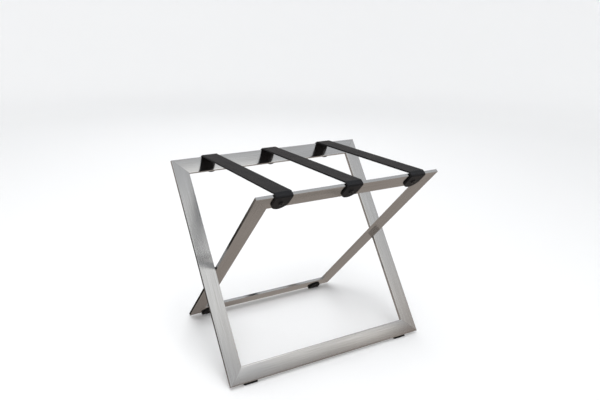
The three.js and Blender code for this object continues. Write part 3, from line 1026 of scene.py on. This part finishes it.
# %% Three straps
straps = {}
for place in ("left", "middle", "right"):
    low, high = solid_corners("strap_" + place)
    grid, flat_x, flat_t, marks = strap_grid((low[0] + high[0]) / 2)
    u = np.concatenate([flat_x, flat_x[:, :1]], axis=1) + len(straps)
    v = np.concatenate([flat_t, flat_t[:, :1]], axis=1)
    strap = make_piece(f"strap_{place}_leather", grid, u=u, v=v, marks=marks)
    dress(strap, leather, "strap_" + place)
    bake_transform(strap)
    turn = np.zeros(len(strap.data.vertices), np.float32)
    strap.data.attributes["turn"].data.foreach_get("value", turn)
    straps[place] = strap
print("straps:", {place: len(strap.data.polygons) for place, strap in straps.items()})

# %% [markdown]
# ## Screws
# Each strap end is held by one black screw with a low domed head, and each foot by a smaller one in a
# pocket. The heads are turned, with the drive pulled into the grid, and each touches what it holds.

# %% Shape of a screw
SCREW_SHANK = 2 * MM
SCREW_RIM = 0.8 * MM
SCREW_EASE = 0.15 * MM
SCREW_BORE_DEPTH = 5.2 * MM
DRIVE_MOUTH = 1.16
DRIVE_MOUTH_HEXED = 0.6
DRIVE_FLOOR = 0.42
DOME_STEPS = 9
FOOT_HEIGHT = 26 * MM
FOOT_FLOOR = 2 * MM


def screw_grid(head, height, drive, grip):
    """A screw, with its height counted from the bar's face: shank, flat underside at the grip, short
    rim, dome as a quarter ellipse, and a hexagon drive that is cut down into it."""
    dome = np.linspace(0, math.acos(min(1, drive * DRIVE_MOUTH / head)), DOME_STEPS)
    dome_radius = head * np.cos(dome)
    dome_level = grip + SCREW_RIM + (height - SCREW_RIM) * np.sin(dome)
    seat = grip - SEAT_GAP
    floor_level = grip + DRIVE_FLOOR * height
    radius = [0, SCREW_SHANK, SCREW_SHANK, head - SCREW_EASE, head, *dome_radius, drive, drive, 0]
    level = [-SCREW_BORE_DEPTH, -SCREW_BORE_DEPTH, seat, seat, seat + SCREW_EASE]
    level += [*dome_level, dome_level[-1] - SCREW_EASE, floor_level, floor_level - 2 * SCREW_EASE]
    hexed = [0] * (len(radius) - 4) + [DRIVE_MOUTH_HEXED, 1, 1, 1]
    return turned_grid(radius, level, hexed)


def add_screw(node, frame_name, up, **sizes):
    """A screw on the side of a frame that carries feet and strap ends, where its solid is."""
    low, high = solid_corners(node)
    x = (low[0] + high[0]) / 2
    grid = screw_grid(**sizes)
    points = on_frame(frame_name, x + grid[..., 0], up + grid[..., 1], BAR_FACE + grid[..., 2])
    screw = make_piece(node + "_domed", points)
    return dress(screw, screw_black, node, frame_name + "_frame")


SCREW_TONES = ((0.011, 0.011, 0.012, 1), (0.026, 0.026, 0.027, 1))
SCREW_FINISH = {"grain": 3400, "rough": (0.30, 0.46), "metallic": 0.55, "depth": 0.02 * MM}
screw_black = speckled_black("screw_black", *SCREW_TONES, **SCREW_FINISH)
print("screws are", screw_black.name)

# %% Screws on straps and feet
STRAP_SCREW = {"head": 6 * MM, "height": 2.4 * MM, "drive": 2.3 * MM}
STRAP_SCREW |= {"grip": STRAP_THICK + 2 * SEAT_GAP, "up": LEG_ABOVE - BAR_WIDTH / 2}
FOOT_SCREW = {"head": 4 * MM, "height": 1.8 * MM, "drive": 1.45 * MM}
FOOT_SCREW |= {"grip": FOOT_FLOOR + 2 * SEAT_GAP, "up": FOOT_HEIGHT / 2 - LEG_BELOW}

screws = []
for frame_name, facts in FRAMES.items():
    for place in straps:
        screws.append(add_screw(f"strap_screw_{facts['straps']}_{place}", frame_name, **STRAP_SCREW))
    for side_name in SIDES:
        screws.append(add_screw(f"foot_screw_{facts['feet']}_{side_name}", frame_name, **FOOT_SCREW))
print("screws:", len(screws))

# %% [markdown]
# ## Rubber feet
# Each foot is a moulded wedge on the side of a bottom rail that faces the floor: level below, thinner
# towards the top, and round at the top as seen square to the rail. It is a polar grid about the
# screw. The rows run from the middle of its back, round its rim and over its front to the pocket,
# and the height of the front is the lower of two planes, the sloping side and the floor.

# %% Outline and front of a foot
FOOT_SEAT = BAR_FACE + SEAT_GAP
FOOT_SHOULDER = 4 * MM
FOOT_BASE_THICK = 6 * MM
FOOT_TOP_THICK = 2.7 * MM
FOOT_HEEL = 0.15 * MM
FOOT_CORNER = 2.5 * MM
FOOT_BLEND = 0.5 * MM
FOOT_TOP_STEPS = 57
FOOT_CORNER_STEPS = 9
FOOT_BASE_STEPS = 26


def floor_out(up):
    """How far out from a frame's middle plane the floor lies, at a height up from the pivot."""
    return (up * math.cos(LEAN) + pivot[2]) / math.sin(LEAN)


def floor_up(out):
    """How far up from the pivot the floor lies, at a distance out from a frame's middle plane."""
    return (out * math.sin(LEAN) - pivot[2]) / math.cos(LEAN)


FOOT_BASE = floor_up(FOOT_SEAT + FOOT_HEEL) + LEG_BELOW
FOOT_CREASE = floor_up(FOOT_SEAT + FOOT_BASE_THICK) + LEG_BELOW


def foot_outline(half_length):
    """Points (x, up from the rail's lower edge) round a foot: a half ellipse above the shoulders, and
    a base with round corners."""
    turn = np.linspace(0, math.pi, FOOT_TOP_STEPS)
    top_up = FOOT_SHOULDER + (FOOT_HEIGHT - FOOT_SHOULDER) * np.sin(turn)
    top = np.stack([half_length * np.cos(turn), top_up], axis=-1)
    corner = np.linspace(math.pi, 1.5 * math.pi, FOOT_CORNER_STEPS)
    left_x = -half_length + FOOT_CORNER * (1 + np.cos(corner))
    left = np.stack([left_x, FOOT_BASE + FOOT_CORNER * (1 + np.sin(corner))], axis=-1)
    inner = half_length - FOOT_CORNER
    across = np.linspace(-inner, inner, FOOT_BASE_STEPS)[1:-1]
    flat = np.stack([across, 0 * across + FOOT_BASE], axis=-1)
    return np.concatenate([top, left, flat, (left * (-1, 1))[::-1]])


def foot_face(up):
    """Distance of a foot's front from the frame's middle plane at a height up from the rail's edge:
    the smooth lower one of the sloping side and the floor."""
    share = (up - FOOT_CREASE) / (FOOT_HEIGHT - FOOT_CREASE)
    side = FOOT_SEAT + FOOT_BASE_THICK + (FOOT_TOP_THICK - FOOT_BASE_THICK) * share
    level = floor_out(up - LEG_BELOW)
    gap = np.clip(0.5 + 0.5 * (side - level) / FOOT_BLEND, 0, 1)
    return side + (level - side) * gap - FOOT_BLEND * gap * (1 - gap) * 0.5


print(f"a foot reaches {-FOOT_BASE / MM:.1f} mm below the rail")

# %% Grid of a foot
FOOT_POCKET = 4.4 * MM
FOOT_POCKET_RIM = 1.06
FOOT_POCKET_EASE = 0.15 * MM
FOOT_SOFT = 1.1 * MM
FOOT_SOFT_SHARE = 0.6
FOOT_BACK_EASE = (0.4 * MM, 0.25 * MM)
FOOT_RIM_ROWS = 7
FOOT_FACE_ROWS = 22
BACK_ROWS = 3


def foot_grid(half_length):
    """A foot's points (x, up, out). Each row is the outline drawn in towards the screw, by a distance
    near the rim and by a share of the way further in."""
    centre = np.array([0, FOOT_HEIGHT / 2])
    spoke = foot_outline(half_length) - centre
    reach = np.linalg.norm(spoke, axis=1)
    turn = np.linspace(0, math.pi / 2, FOOT_RIM_ROWS)
    rim_share = 1 - FOOT_SOFT * (1 - np.cos(turn))[:, None] / reach
    way = np.linspace(0, 1, FOOT_FACE_ROWS)[1:, None]
    face_share = rim_share[-1] + (FOOT_POCKET * FOOT_POCKET_RIM / reach - rim_share[-1]) * way
    back_share = [0 * reach, 1 - FOOT_BACK_EASE[0] / reach, 1 + 0 * reach]
    pocket_share = [FOOT_POCKET / reach, FOOT_POCKET / reach, 0 * reach]
    share = np.concatenate([back_share, rim_share[1:], face_share, pocket_share])
    points = centre + share[..., None] * spoke
    front = foot_face(points[..., 1])
    out = front.copy()
    rim = slice(BACK_ROWS, BACK_ROWS + FOOT_RIM_ROWS - 1)
    soft = np.minimum(FOOT_SOFT, np.maximum(front - FOOT_SEAT, 0) * FOOT_SOFT_SHARE)
    out[rim] = front[rim] - soft[rim] * (1 - np.sin(turn[1:, None]))
    out[:2] = FOOT_SEAT
    out[2] = np.minimum(FOOT_SEAT + FOOT_BACK_EASE[1], out[3])
    out[-3] = front[-3] - FOOT_POCKET_EASE
    out[-2:] = FOOT_SEAT + FOOT_FLOOR
    return points[..., 0], points[..., 1], out


print("a foot has", FOOT_FACE_ROWS - 1, "rows over its front")

# %% Four feet
RUBBER_TONES = ((0.003, 0.003, 0.0031, 1), (0.006, 0.006, 0.006, 1))
rubber = speckled_black("foot_rubber", *RUBBER_TONES, grain=1900, rough=(0.62, 0.86), shine=0.25)
lowest = {}
for frame_name, facts in FRAMES.items():
    for side_name in SIDES:
        node = f"foot_{facts['feet']}_{side_name}"
        low, high = solid_corners(node)
        x, up, out = foot_grid((high[0] - low[0]) / 2)
        points = on_frame(frame_name, (low[0] + high[0]) / 2 + x, up - LEG_BELOW, out)
        foot = make_piece(node + "_rubber", points)
        dress(foot, rubber, node, frame_name + "_frame")
        lowest[node] = round(points[..., 2].min() / MM, 2)
print("feet, lowest point in mm:", lowest)
